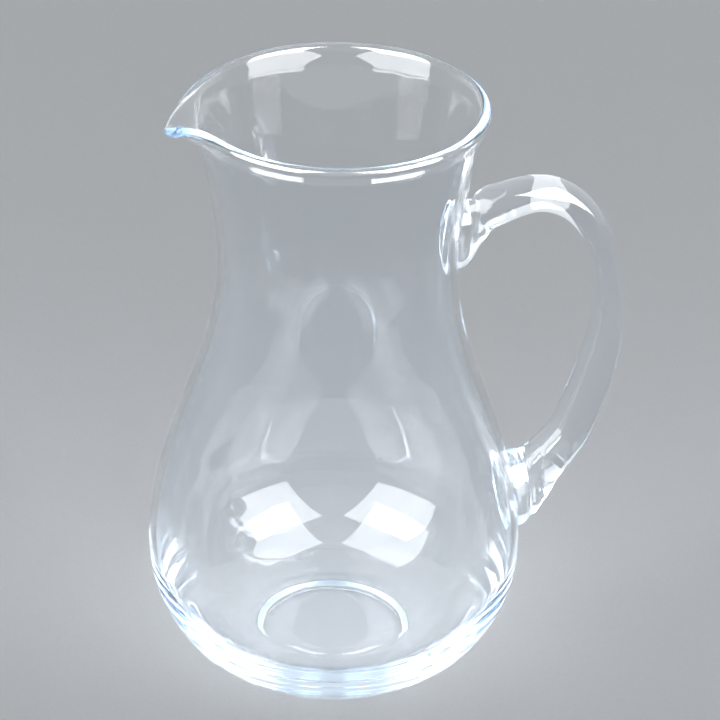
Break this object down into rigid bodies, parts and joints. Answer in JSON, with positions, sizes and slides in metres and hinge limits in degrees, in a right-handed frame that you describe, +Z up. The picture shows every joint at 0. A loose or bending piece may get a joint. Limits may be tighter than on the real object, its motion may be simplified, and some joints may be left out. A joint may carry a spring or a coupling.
{
  "type": "water jug",
  "caption": "Open blown glass water jug with a round belly, waisted neck, pulled pouring lip and a hot-applied solid glass loop handle.",
  "frame": {"origin": "on the axis of the vessel, in the plane its standing ring rests on", "axes": "+Z up along the axis of the vessel to the rim, +X towards the handle, -X towards the pouring lip, Y across the handle"},
  "size_m": [0.196, 0.1538, 0.25],
  "materials": {
    "body_glass": "clear fire-polished soda-lime glass with a faint blue cast",
    "handle_glass": "clear solid glass, hand pulled, with tooling ridges at the joints"
  },
  "bodies": {
    "root": {"body": "body_glass", "handle": "handle_glass"}
  },
  "joints": []
}
